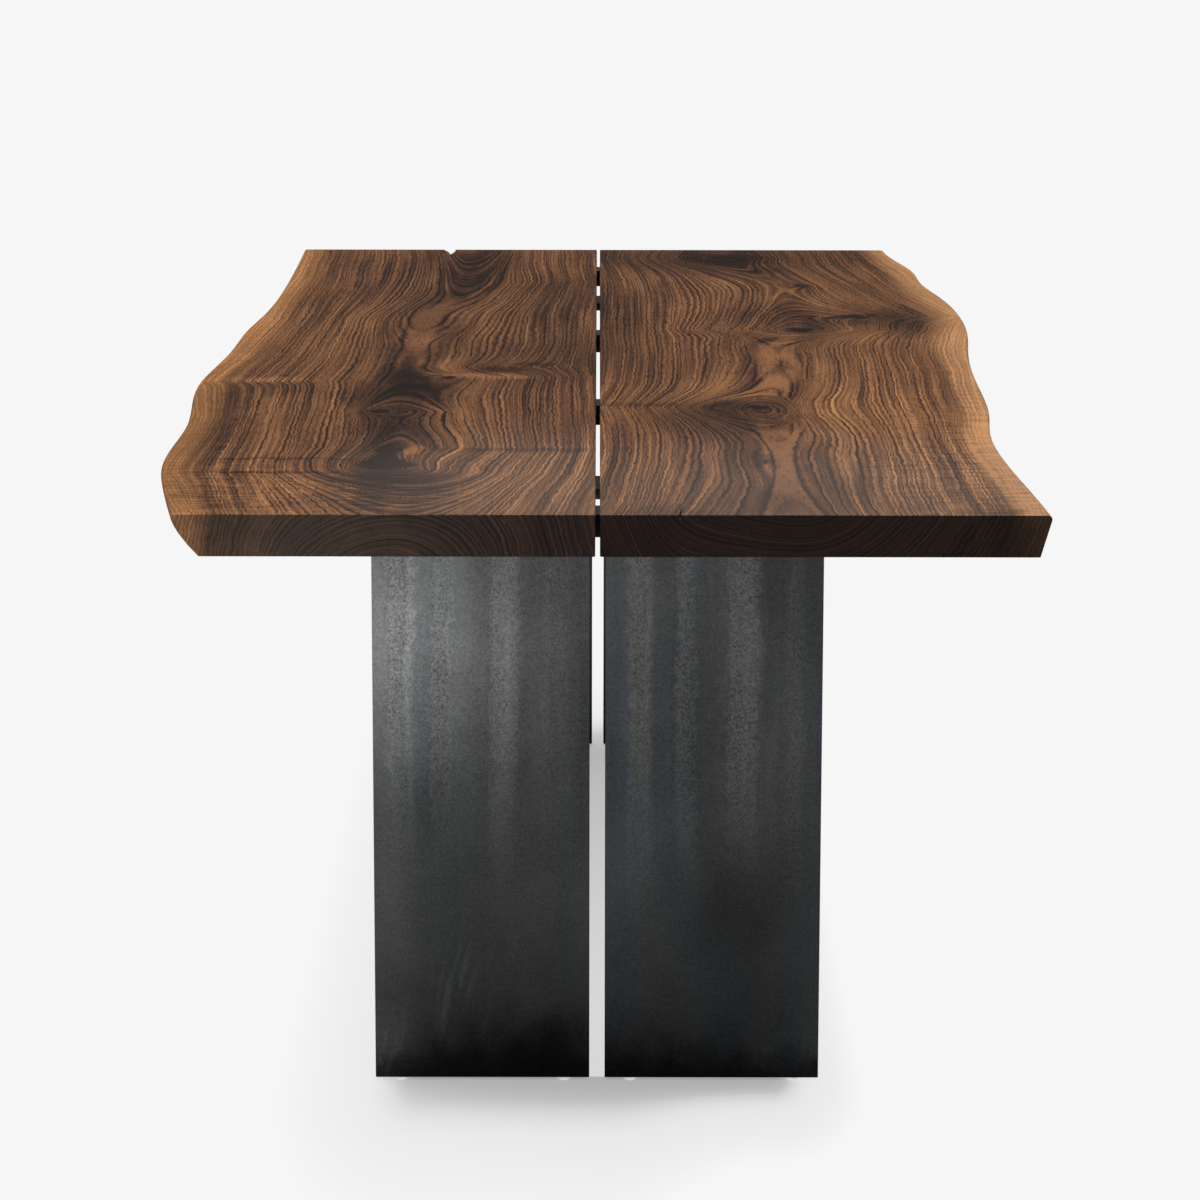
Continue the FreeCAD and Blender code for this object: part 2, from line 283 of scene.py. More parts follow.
rough = calc(grain, "MULTIPLY_ADD", pores, 0.1, 0.6)
feed(grain, leave["Roughness"], calc(grain, "MULTIPLY_ADD", line, 0.06, rough))
height = calc(grain, "ADD", calc(grain, "MULTIPLY", line, -0.25), calc(grain, "MULTIPLY", pores, -0.6))
feed(grain, leave["Height"], calc(grain, "MULTIPLY_ADD", ripple, -0.5, height))


def along_curve(tree, share, points, low, high):
    """A smooth curve through (share of the length, value) points."""
    made = add_node(tree, "FloatCurve", Value=share)
    curve = made.mapping.curves[0]
    scaled = [(at, (value - low) / (high - low)) for at, value in points]
    curve.points[0].location = scaled[0]
    curve.points[1].location = scaled[-1]
    for point in scaled[1:-1]:
        curve.points.new(*point)
    made.mapping.update()
    return spread(tree, made.outputs[0], low, high)


# Millimetres: the live edge lies about edge_middle from the table's middle, far is out of reach, and a spot
# thinner than thin_line keeps a crisp outline
table_length = 2200.0
flank_width = 265.0
sap_reach = (205.0, 262.0)
edge_middle = 502.5
far = 100000.0
thin_line = 6.0


def walnut_plank(name, side, heart_middle, heart, swell, pith_height, sap, ends, bulges, eyes, lenses,
                 stains, painted_sheens, ripples, strips=()):
    """A plank's own grain: rings round its pith, pushed aside by the branches that grew there. Places are
    (across from the heart line, along from the table's middle). The heart line and the swell of the live
    edge are curves along the plank. Eyes are knots, lenses and strips are calm pale wood, stains darken or
    lighten, the sheens lay a painted grey sheen over the wood and ripples hatch the grain crosswise."""
    material, tree, shader = new_material(name)
    raw = millimetres(tree)
    place = add_node(tree, "SeparateXYZ", Vector=raw).outputs
    share = calc(tree, "ADD", calc(tree, "DIVIDE", place["Y"], table_length), 0.5)
    middle = side * heart_middle
    from_middle = calc(tree, "SUBTRACT", place["X"], middle)
    hairy = noise(tree, raw, (9.0, 40.0, 9.0), 3.0)
    slow = noise(tree, raw, (300.0, 210.0, 300.0), 2.0)
    crinkled = swing(tree, raw, (16.0, 20.0, 16.0), 2.0)
    for wave, sideways in ((hairy, 4.0), (slow, 6.0), (crinkled, 6.0)):
        from_middle = calc(tree, "MULTIPLY_ADD", wave, sideways, from_middle)
    from_middle = calc(tree, "SUBTRACT", from_middle, 5.0)
    wander = calc(tree, "SUBTRACT", along_curve(tree, share, heart, -300.0, 300.0), middle)
    follow = fade(tree, calc(tree, "ABSOLUTE", calc(tree, "SUBTRACT", from_middle, wander)), 190.0, 25.0)
    from_heart = calc(tree, "SUBTRACT", from_middle, calc(tree, "MULTIPLY", wander, follow))
    position = add_node(tree, "CombineXYZ", X=from_heart, Y=place["Y"], Z=place["Z"]).outputs[0]
    flank_here = calc(tree, "ADD", along_curve(tree, share, swell, -60.0, 60.0), edge_middle - heart_middle)
    outer = calc(tree, "GREATER_THAN", calc(tree, "MULTIPLY", from_heart, float(side)), 0.0)
    near_edge = fade(tree, calc(tree, "DIVIDE", calc(tree, "ABSOLUTE", from_heart), flank_here), 0.25, 1.0)
    stretch = choose(tree, calc(tree, "MULTIPLY", outer, near_edge), 1.0,
                     calc(tree, "DIVIDE", flank_width, flank_here))
    spread_out = calc(tree, "MULTIPLY", from_heart, stretch)
    depth = calc(tree, "SUBTRACT", place["Z"], pith_height)
    ring = calc(tree, "SQRT", calc(tree, "MULTIPLY_ADD", spread_out, spread_out,
                                   calc(tree, "MULTIPLY", depth, depth)))
    ring = calc(tree, "MULTIPLY_ADD", noise(tree, raw, (170.0, 420.0, 170.0), 1.0), 24.0, ring)
    for bulge in bulges:
        across, along = bulge["at"]
        left, right = bulge["sides"]
        front, back = bulge["ends"]
        bulged = use_group(tree, bulge_group, Position=position, Across=across, Along=along, Left=left,
                           Right=right, Front=front, Back=back)["Bulge"]
        ring = calc(tree, "MULTIPLY_ADD", bulged, -bulge["push"], ring)
    uneven = calc(tree, "MULTIPLY_ADD", noise(tree, position, (22.0, 34.0, 22.0), 2.0), 0.5, -0.25)
    cloudy = add_node(tree, "TexNoise", Vector=position, Scale=1.0 / 38.0, Detail=3.0).outputs["Color"]
    warp = add_node(tree, "VectorMath", {"operation": "MULTIPLY_ADD"})
    feed(tree, warp.inputs[0], cloudy)
    feed(tree, warp.inputs[1], (34.0, 34.0, 0.0))
    feed(tree, warp.inputs[2], position)
    warped = add_node(tree, "VectorMath", {"operation": "SUBTRACT"})
    feed(tree, warped.inputs[0], warp.outputs[0])
    feed(tree, warped.inputs[1], (17.0, 17.0, 0.0))

    def distance_from(spot, size, within=position, unevenness=0.0):
        """0 at the middle of a spot and 1 at its rim, which may be uneven."""
        distance = use_group(tree, eye_group, Position=within, Across=spot[0], Along=spot[1],
                             Half_Width=size[0], Half_Length=size[1])["Distance"]
        return calc(tree, "MULTIPLY_ADD", uneven, unevenness, distance)

    def spots(places, strength):
        """The strongest of some soft spots at each point."""
        total = 0.0
        for spot in places:
            core = spot.get("core", 0.2)
            within = position if min(spot["size"]) < thin_line else warped.outputs[0]
            reach = fade(tree, distance_from(spot["at"], spot["size"], within), 1.2, core)
            total = calc(tree, "MAXIMUM", total, calc(tree, "MULTIPLY", reach, abs(spot[strength])))
        return total

    heart_streak = fade(tree, calc(tree, "ABSOLUTE", from_heart), 100.0, 10.0)
    streaky = fade(tree, noise(tree, position, (50.0, 330.0, 50.0)), 0.3, 0.7)
    stain = calc(tree, "MULTIPLY", heart_streak, spread(tree, streaky, 0.1, 0.5))
    pale = 0.0
    for eye in eyes:
        distance = distance_from(eye["at"], eye["size"], position, 0.8)
        inside = fade(tree, distance, 1.25, 0.85)
        ring = choose(tree, inside, ring, calc(tree, "MULTIPLY", distance, eye["rings"] * ring_pitch))
    for lens in lenses:
        distance = distance_from(lens["at"], lens["size"], position, 0.6)
        calmed = calc(tree, "MULTIPLY", fade(tree, distance, 1.25, 0.65), lens.get("calm", 1.0))
        pale = calc(tree, "MAXIMUM", pale, calmed)
    facing = add_node(tree, "SeparateXYZ", Vector=add_node(tree, "TexCoord").outputs["Normal"]).outputs
    end_grain = fade(tree, calc(tree, "ABSOLUTE", facing["Y"]), 0.35, 0.6)
    outlines = 0.0
    for strip in strips:
        here = calc(tree, "ADD", from_middle, middle)
        from_left = calc(tree, "SUBTRACT", here, along_curve(tree, share, strip["left"], 0.0, 300.0))
        from_right = calc(tree, "SUBTRACT", along_curve(tree, share, strip["right"], 0.0, 300.0), here)
        inside = calc(tree, "MINIMUM", from_left, from_right)
        in_front = fade(tree, share, strip["end"] + 0.02, strip["end"] - 0.03)
        in_front = calc(tree, "MULTIPLY", in_front, calc(tree, "SUBTRACT", 1.0, end_grain))
        pale = calc(tree, "MAXIMUM", pale, calc(tree, "MULTIPLY", in_front, fade(tree, inside, -2.0, 5.0)))
        rim = fade(tree, calc(tree, "ABSOLUTE", inside), strip["rim"], 0.5)
        outlines = calc(tree, "MAXIMUM", outlines, calc(tree, "MULTIPLY", in_front, rim))
    outlines = calc(tree, "MULTIPLY", outlines, 0.65)
    stain = calc(tree, "MULTIPLY", stain, calc(tree, "SUBTRACT", 1.0, pale))
    stain = calc(tree, "ADD", stain, outlines)
    stain = calc(tree, "ADD", stain, spots([spot for spot in stains if spot["dark"] > 0], "dark"))
    stain = calc(tree, "SUBTRACT", stain, spots([spot for spot in stains if spot["dark"] < 0], "dark"))
    sapwood = calc(tree, "MULTIPLY", outer, fade(tree, calc(tree, "ABSOLUTE", spread_out), *sap_reach))
    ripple = calc(tree, "ADD", calc(tree, "MULTIPLY_ADD", sapwood, 0.4, 0.25), spots(ripples, "depth"))
    stain = calc(tree, "MULTIPLY", stain, spread(tree, end_grain, 1.0, 0.25))
    live_edge = calc(tree, "MULTIPLY", outer, fade(tree, calc(tree, "ABSOLUTE", facing["X"]), 0.35, 0.8))
    stain = choose(tree, live_edge, stain, calc(tree, "MAXIMUM", stain, -0.25))
    # End faces: the end tone runs from the edge tone to the gap tone, and the end is less dark near the
    # outer edge. On the left plank the grey edge tone and that lighter outer edge are a painted reflection
    # of the pale surround.
    toward_gap = fade(tree, calc(tree, "ABSOLUTE", place["X"]), 330.0, 60.0)
    at_edge = fade(tree, calc(tree, "ABSOLUTE", place["X"]), 340.0, 455.0)
    end_tone = blend(tree, toward_gap, ends["edge_tone"], ends["gap_tone"])
    end_dark = calc(tree, "MULTIPLY_ADD", at_edge, -ends["edge_light"], ends["dark"])
    wood = use_group(tree, grain, Position=position, Ring=ring, Stain=stain, Pale=pale,
                     Sapwood=sapwood, Ripple=ripple, Bloom=spots(painted_sheens, "grey"), Live_Edge=live_edge,
                     End_Grain=end_grain, End_Dark=end_dark, End_Tone=end_tone, Sap_Tone=sap)
    feed(tree, shader.inputs["Base Color"], wood["Colour"])
    feed(tree, shader.inputs["Roughness"], wood["Roughness"])
    shader.inputs["Specular IOR Level"].default_value = 0.0
    emboss(tree, shader, wood["Height"], strength=0.35, depth=0.0006)
    return material


left_walnut = walnut_plank(
    "walnut_left", -1, 240.0,
    heart=[(0.0, -225.0), (0.09, -232.0), (0.133, -248.0), (0.19, -241.0), (0.25, -244.0), (0.33, -254.0),
           (0.37, -258.0), (0.5, -254.0), (0.6, -253.0), (0.66, -250.0), (0.73, -226.0), (0.82, -214.0),
           (1.0, -214.0)],
    swell=[(0.0, -54.0), (0.085, -22.0), (0.13, -9.5), (0.25, -7.5), (0.375, 10.5), (0.5, -2.0),
           (0.585, -5.5), (0.66, -15.5), (0.8, -21.5), (1.0, -15.0)],
    pith_height=665.0, sap=screen(176, 125, 80),
    # The grey edge tone of this end is a painted reflection
    ends={"dark": 0.84, "edge_light": 0.4, "edge_tone": screen(52, 51, 49), "gap_tone": screen(20, 19, 22)},
    bulges=[
        {"at": (4.0, -860.0), "sides": (84.0, 88.0), "ends": (240.0, far), "push": 14.0},
        {"at": (4.0, -860.0), "sides": (84.0, 88.0), "ends": (far, far), "push": -14.0},
        {"at": (0.0, -860.0), "sides": (200.0, 190.0), "ends": (240.0, far), "push": 72.0},
        {"at": (0.0, -860.0), "sides": (200.0, 190.0), "ends": (far, far), "push": -72.0},
        {"at": (120.0, -724.0), "sides": (85.0, 220.0), "ends": (330.0, 560.0), "push": 42.0},
        {"at": (0.0, -840.0), "sides": (42.0, 46.0), "ends": (26.0, 190.0), "push": 62.0},
        {"at": (-18.0, -464.0), "sides": (45.0, 60.0), "ends": (50.0, 45.0), "push": 22.0},
        {"at": (150.0, 700.0), "sides": (120.0, 150.0), "ends": (500.0, 500.0), "push": 45.0},
        {"at": (120.0, -120.0), "sides": (50.0, 70.0), "ends": (45.0, 45.0), "push": -28.0},
        {"at": (90.0, -200.0), "sides": (50.0, 110.0), "ends": (160.0, 30.0), "push": 26.0},
        {"at": (-200.0, -240.0), "sides": (100.0, 100.0), "ends": (20.0, 200.0), "push": 18.0},
        {"at": (0.0, 1150.0), "sides": (50.0, 75.0), "ends": (330.0, 500.0), "push": 85.0}],
    eyes=[
        {"at": (-18.0, -464.0), "size": (18.0, 22.0), "rings": 2.5}],
    lenses=[
        {"at": (6.0, 265.0), "size": (22.0, 270.0)},
        {"at": (8.0, -1000.0), "size": (88.0, 125.0), "calm": 0.15},
        {"at": (29.0, -722.0), "size": (14.0, 34.0), "calm": 0.8}],
    stains=[
        {"at": (6.0, -808.0), "size": (32.0, 42.0), "dark": 1.35, "core": 0.6},
        {"at": (3.0, -750.0), "size": (17.0, 90.0), "dark": 1.25, "core": 0.4},
        {"at": (8.0, -900.0), "size": (85.0, 70.0), "dark": 0.9},
        {"at": (15.0, -985.0), "size": (72.0, 115.0), "dark": 0.6},
        {"at": (-20.0, -464.0), "size": (20.0, 22.0), "dark": 0.9},
        {"at": (0.0, -520.0), "size": (60.0, 200.0), "dark": 0.55},
        {"at": (-5.0, -345.0), "size": (105.0, 140.0), "dark": 0.56},
        {"at": (0.0, -190.0), "size": (40.0, 150.0), "dark": 0.65},
        {"at": (120.0, -140.0), "size": (40.0, 38.0), "dark": 0.9},
        {"at": (160.0, -98.0), "size": (52.0, 40.0), "dark": 0.75},
        {"at": (140.0, -115.0), "size": (100.0, 90.0), "dark": 0.4},
        {"at": (15.0, 10.0), "size": (75.0, 130.0), "dark": 0.3},
        {"at": (75.0, -195.0), "size": (38.0, 30.0), "dark": -0.55},
        {"at": (130.0, -200.0), "size": (34.0, 28.0), "dark": -0.55},
        {"at": (30.0, 850.0), "size": (105.0, 400.0), "dark": 0.55},
        {"at": (-3.0, 560.0), "size": (48.0, 170.0), "dark": 0.6},
        {"at": (5.0, 330.0), "size": (34.0, 230.0), "dark": 0.36, "core": 0.5},
        {"at": (-180.0, -300.0), "size": (130.0, 75.0), "dark": 0.3},
        {"at": (-190.0, -228.0), "size": (90.0, 28.0), "dark": -0.4},
        {"at": (-150.0, -780.0), "size": (150.0, 9.0), "dark": 0.5},
        {"at": (-130.0, -862.0), "size": (160.0, 10.0), "dark": 0.5},
        {"at": (-18.0, 150.0), "size": (5.0, 130.0), "dark": 0.8},
        {"at": (-30.0, 246.0), "size": (32.0, 5.0), "dark": 0.5},
        {"at": (-245.0, -540.0), "size": (75.0, 460.0), "dark": 0.72},
        {"at": (-60.0, 700.0), "size": (190.0, 620.0), "dark": 0.3},
        {"at": (-245.0, 850.0), "size": (60.0, 330.0), "dark": 0.1},
        {"at": (-235.0, 300.0), "size": (60.0, 190.0), "dark": -0.22},
        {"at": (150.0, -722.0), "size": (130.0, 17.0), "dark": 0.5},
        {"at": (150.0, -760.0), "size": (130.0, 30.0), "dark": -0.3},
        {"at": (29.0, -722.0), "size": (15.0, 36.0), "dark": -0.3},
        {"at": (190.0, 150.0), "size": (160.0, 850.0), "dark": 0.42},
        {"at": (160.0, -930.0), "size": (190.0, 330.0), "dark": -0.3},
        {"at": (-240.0, -1010.0), "size": (60.0, 130.0), "dark": 0.72},
        {"at": (-125.0, -990.0), "size": (60.0, 130.0), "dark": -0.18},
        {"at": (-75.0, -1110.0), "size": (160.0, 75.0), "dark": -0.4}],
    # Painted sheen: a grey veil of painted light over the front of the top
    painted_sheens=[
        {"at": (150.0, -940.0), "size": (260.0, 420.0), "grey": 0.9},
        {"at": (10.0, -985.0), "size": (100.0, 170.0), "grey": 0.4}],
    ripples=[
        {"at": (-200.0, -1000.0), "size": (160.0, 260.0), "depth": 1.2},
        {"at": (5.0, -985.0), "size": (95.0, 150.0), "depth": 2.1}])
right_walnut = walnut_plank(
    "walnut_right", 1, 228.0,
    heart=[(0.0, 213.0), (0.09, 208.0), (0.155, 211.0), (0.2, 221.0), (0.25, 213.0), (0.3, 200.0),
           (0.37, 226.0), (0.45, 240.0), (0.53, 242.0), (0.57, 262.0), (0.6, 279.0), (0.65, 275.0),
           (0.74, 271.0), (0.8, 269.0), (0.86, 247.0), (0.94, 204.0), (1.0, 204.0)],
    swell=[(0.0, -22.5), (0.1, -32.0), (0.17, -37.5), (0.23, -34.0), (0.29, -21.0), (0.39, -12.0),
           (0.5, 1.0), (0.6, 21.0), (0.66, 24.5), (0.75, 14.0), (0.82, -1.0), (0.875, -2.0), (0.93, -16.0),
           (1.0, -29.5)],
    pith_height=825.0, sap=screen(206, 156, 112),
    ends={"dark": 0.93, "edge_light": 0.0, "edge_tone": screen(26, 21, 19), "gap_tone": screen(27, 22, 23)},
    bulges=[
        {"at": (-15.0, -439.0), "sides": (60.0, 45.0), "ends": (55.0, 50.0), "push": 40.0},
        {"at": (-100.0, -430.0), "sides": (170.0, 70.0), "ends": (170.0, 110.0), "push": 38.0},
        {"at": (-170.0, -1350.0), "sides": (200.0, 90.0), "ends": (100.0, 330.0), "push": 120.0},
        {"at": (5.0, 215.0), "sides": (85.0, 150.0), "ends": (38.0, 180.0), "push": 90.0},
        {"at": (150.0, 350.0), "sides": (95.0, 190.0), "ends": (45.0, 220.0), "push": 90.0},
        {"at": (0.0, 1000.0), "sides": (170.0, 100.0), "ends": (220.0, 400.0), "push": 75.0},
        {"at": (45.0, 671.0), "sides": (30.0, 30.0), "ends": (40.0, 40.0), "push": 14.0}],
    eyes=[
        {"at": (3.0, -450.0), "size": (38.0, 84.0), "rings": 5.0},
        {"at": (2.0, 211.0), "size": (30.0, 32.0), "rings": 4.0}],
    lenses=[
        {"at": (0.0, -110.0), "size": (30.0, 230.0)}],
    strips=[
        {"left": [(0.0, 171.0), (0.066, 189.0), (0.106, 196.0), (0.144, 199.0), (0.175, 198.0),
                  (0.26, 176.0)],
         "right": [(0.0, 242.0), (0.042, 231.0), (0.09, 224.0), (0.153, 225.0), (0.193, 233.0),
                   (0.26, 259.0)],
         "end": 0.24, "rim": 3.4}],
    stains=[
        {"at": (0.0, 985.0), "size": (115.0, 130.0), "dark": 1.0},
        {"at": (35.0, 865.0), "size": (55.0, 100.0), "dark": 0.5},
        {"at": (75.0, 328.0), "size": (44.0, 22.0), "dark": 1.0},
        {"at": (105.0, 341.0), "size": (46.0, 24.0), "dark": 1.25, "core": 0.5},
        {"at": (142.0, 357.0), "size": (50.0, 19.0), "dark": 0.9},
        {"at": (180.0, 372.0), "size": (50.0, 15.0), "dark": 0.6},
        {"at": (90.0, 290.0), "size": (110.0, 62.0), "dark": 0.55},
        {"at": (2.0, 211.0), "size": (28.0, 28.0), "dark": 1.15},
        {"at": (-15.0, 115.0), "size": (18.0, 30.0), "dark": 0.6},
        {"at": (6.0, -100.0), "size": (12.0, 60.0), "dark": 0.35},
        {"at": (-31.0, -150.0), "size": (3.5, 150.0), "dark": 0.55},
        {"at": (31.0, -40.0), "size": (3.5, 110.0), "dark": 0.55},
        {"at": (0.0, -860.0), "size": (30.0, 300.0), "dark": 0.25},
        {"at": (230.0, -390.0), "size": (75.0, 270.0), "dark": 0.2},
        {"at": (-155.0, -1110.0), "size": (90.0, 80.0), "dark": 0.3},
        {"at": (-5.0, -1040.0), "size": (48.0, 110.0), "dark": 0.55},
        {"at": (10.0, -520.0), "size": (60.0, 110.0), "dark": 0.42},
        {"at": (-27.0, -780.0), "size": (14.0, 75.0), "dark": 0.8},
        {"at": (-30.0, -280.0), "size": (150.0, 130.0), "dark": -0.25},
        {"at": (30.0, 330.0), "size": (260.0, 170.0), "dark": 0.37},
        {"at": (-60.0, 1000.0), "size": (330.0, 280.0), "dark": 0.55},
        {"at": (-6.0, -432.0), "size": (15.0, 17.0), "dark": 1.3, "core": 0.5},
        {"at": (-45.0, -440.0), "size": (100.0, 70.0), "dark": 0.55},
        {"at": (-75.0, -540.0), "size": (90.0, 170.0), "dark": 0.55},
        {"at": (-180.0, -415.0), "size": (130.0, 24.0), "dark": 0.4},
        {"at": (-225.0, 420.0), "size": (60.0, 700.0), "dark": 0.5},
        {"at": (45.0, 668.0), "size": (16.0, 40.0), "dark": 0.9},
        {"at": (215.0, -1075.0), "size": (30.0, 24.0), "dark": 0.5},
        {"at": (110.0, -750.0), "size": (170.0, 620.0), "dark": -0.34},
        {"at": (240.0, -770.0), "size": (60.0, 430.0), "dark": -1.05},
        {"at": (245.0, 100.0), "size": (55.0, 900.0), "dark": -0.05},
        {"at": (0.0, -1010.0), "size": (130.0, 150.0), "dark": 0.2},
        {"at": (0.0, -290.0), "size": (50.0, 120.0), "dark": -0.2},
        {"at": (210.0, 300.0), "size": (85.0, 170.0), "dark": 0.85},
        {"at": (-180.0, 250.0), "size": (140.0, 1000.0), "dark": 0.2}],
    # Painted sheen: a grey veil of painted light over the front of the top
    painted_sheens=[
        {"at": (10.0, -980.0), "size": (420.0, 430.0), "grey": 0.9},
        {"at": (0.0, -900.0), "size": (40.0, 330.0), "grey": 0.8}],
    ripples=[
        {"at": (220.0, -920.0), "size": (150.0, 360.0), "depth": 1.6},
        {"at": (240.0, -540.0), "size": (110.0, 280.0), "depth": 0.9}])
dress(["plank_left"], left_walnut)
dress(["plank_right"], right_walnut)

# Leg plates: four upright flats of hot-rolled steel with the mill scale left on, blackened and waxed. The
# rolling left soft bands down them and the sawn edges are eased. Painted shade darkens them towards the
# foot and a painted highlight lightens the top left.
steel_grey = screen(150, 152, 151)
steel_blue = screen(132, 144, 160)
scale, entry, leave = new_group(
    "mill_scale",
    {"Position": "vector", "Level": "value", "Bands": "value", "Blue": "value", "Grain": "value",
     "Scuff": "value"},
    {"Colour": "colour", "Roughness": "value", "Height": "value"})
position = entry["Position"]
place = add_node(scale, "SeparateXYZ", Vector=position).outputs
sway = swing(scale, position, (60.0, 60.0, 210.0), 2.0)
band_x = calc(scale, "MULTIPLY_ADD", sway, 34.0, place["X"])
band_place = add_node(scale, "CombineXYZ", X=band_x, Y=place["Y"], Z=place["Z"]).outputs[0]
bands = calc(scale, "MULTIPLY", swing(scale, band_place, (26.0, 300.0, 1200.0), 3.0), entry["Bands"])
cloud = swing(scale, position, (70.0, 70.0, 90.0), 4.0)
peel = swing(scale, position, (2.0, 2.0, 2.3), 2.0)
speckle = swing(scale, position, (1.8, 1.8, 2.0), 2.0)
brushed = swing(scale, position, (30.0, 30.0, 2.6), 2.0)
leaning = add_node(scale, "VectorRotate", {"rotation_type": "Y_AXIS"}, Vector=position, Angle=-0.2)
leaning = leaning.outputs[0]
smear = fade(scale, noise(scale, leaning, (9.0, 40.0, 70.0), 3.0), 0.42, 0.72)
smear = calc(scale, "MULTIPLY_ADD", fade(scale, peel, 0.08, 0.25), 0.8, smear)
smear = calc(scale, "MULTIPLY", smear, entry["Scuff"])
scratch = fade(scale, noise(scale, leaning, (1.6, 40.0, 60.0), 2.0), 0.66, 0.76)
scratch = calc(scale, "MULTIPLY", scratch, entry["Scuff"])
rolled = calc(scale, "MULTIPLY", peel, entry["Grain"])
light = calc(scale, "ADD", bands, 1.0)
for feature, strength in ((cloud, 0.65), (rolled, 2.1), (speckle, 0.8), (brushed, 0.24), (scratch, 0.5),
                          (smear, 0.75)):
    light = calc(scale, "MULTIPLY_ADD", feature, strength, light)
light = calc(scale, "MULTIPLY", calc(scale, "MAXIMUM", light, 0.2), entry["Level"])
light = calc(scale, "MULTIPLY_ADD", fade(scale, speckle, 0.03, 0.2), 0.012, light)
tint = fade(scale, noise(scale, band_place, (60.0, 200.0, 420.0), 2.0), 0.4, 0.66)
colour = blend(scale, calc(scale, "MULTIPLY", tint, entry["Blue"]), steel_grey, steel_blue)
feed(scale, leave["Colour"], shade(scale, colour, light))
rough = calc(scale, "MULTIPLY_ADD", speckle, 0.2, 0.46)
feed(scale, leave["Roughness"], calc(scale, "MULTIPLY_ADD", cloud, 0.16, rough))
feed(scale, leave["Height"], calc(scale, "ADD", speckle, peel))


def scaled_steel(name, lit):
    """Steel with mill scale. The function lit gives how light, banded, blue, grainy and scuffed it is."""
    material, tree, shader = new_material(name)
    position = millimetres(tree)
    level, bands, blue, rolled, scuff = lit(tree, position)
    steel = use_group(tree, scale, Position=position, Level=level, Bands=bands, Blue=blue,
                      Grain=rolled, Scuff=scuff)
    feed(tree, shader.inputs["Base Color"], steel["Colour"])
    feed(tree, shader.inputs["Roughness"], steel["Roughness"])
    shader.inputs["Metallic"].default_value = 0.6
    shader.inputs["Specular IOR Level"].default_value = 0.1
    emboss(tree, shader, steel["Height"], strength=0.2, depth=0.0004)
    return material


# The rolled bands are (place across, half width, strength). The painted light, which is painted highlights
# and painted shade, and the scuffs are (place across, height, half width, half height, strength), where a
# negative strength is darker.
plate_height = 705.0
rolled_bands = [(-229.0, 14.0, 0.32), (-180.0, 11.0, 0.26), (-110.0, 15.0, 0.34), (-48.0, 15.0, 0.16),
                (47.0, 13.0, 0.42), (103.0, 12.0, 0.36), (170.0, 17.0, 0.44), (230.0, 10.0, 0.2)]
plate_painted_light = [
    (-235.0, 665.0, 165.0, 210.0, 0.62), (-255.0, 560.0, 100.0, 125.0, 1.75),
    (-192.0, 475.0, 115.0, 110.0, 1.3), (-254.0, 205.0, 34.0, 140.0, 0.45),
    (160.0, 370.0, 100.0, 100.0, 0.25), (105.0, 600.0, 55.0, 150.0, 0.1),
    (140.0, 180.0, 70.0, 70.0, -0.15), (-28.0, 630.0, 36.0, 120.0, 0.18),
    (-260.0, 260.0, 50.0, 330.0, 0.35), (-248.0, 30.0, 32.0, 50.0, 2.6),
    (-200.0, 325.0, 14.0, 28.0, -0.25), (-160.0, 20.0, 40.0, 20.0, -0.2),
    (-70.0, 30.0, 75.0, 42.0, -0.75), (25.0, 220.0, 50.0, 110.0, 0.25),
    (70.0, 10.0, 90.0, 16.0, -0.4), (131.0, 420.0, 15.0, 170.0, -0.3),
    (180.0, 215.0, 70.0, 90.0, -0.4), (200.0, 705.0, 110.0, 60.0, -0.35),
    (205.0, 600.0, 18.0, 150.0, -0.25), (220.0, 25.0, 40.0, 30.0, 0.9),
    (254.0, 50.0, 30.0, 60.0, 0.6), (248.0, 640.0, 34.0, 150.0, -0.35)]
plate_scuffs = [
    (-165.0, 130.0, 22.0, 40.0, 1.0), (-180.0, 80.0, 12.0, 40.0, 0.8), (-238.0, 45.0, 22.0, 40.0, 0.6),
    (-135.0, 60.0, 10.0, 40.0, 0.5), (30.0, 35.0, 16.0, 26.0, 0.8), (245.0, 40.0, 16.0, 40.0, 0.5)]


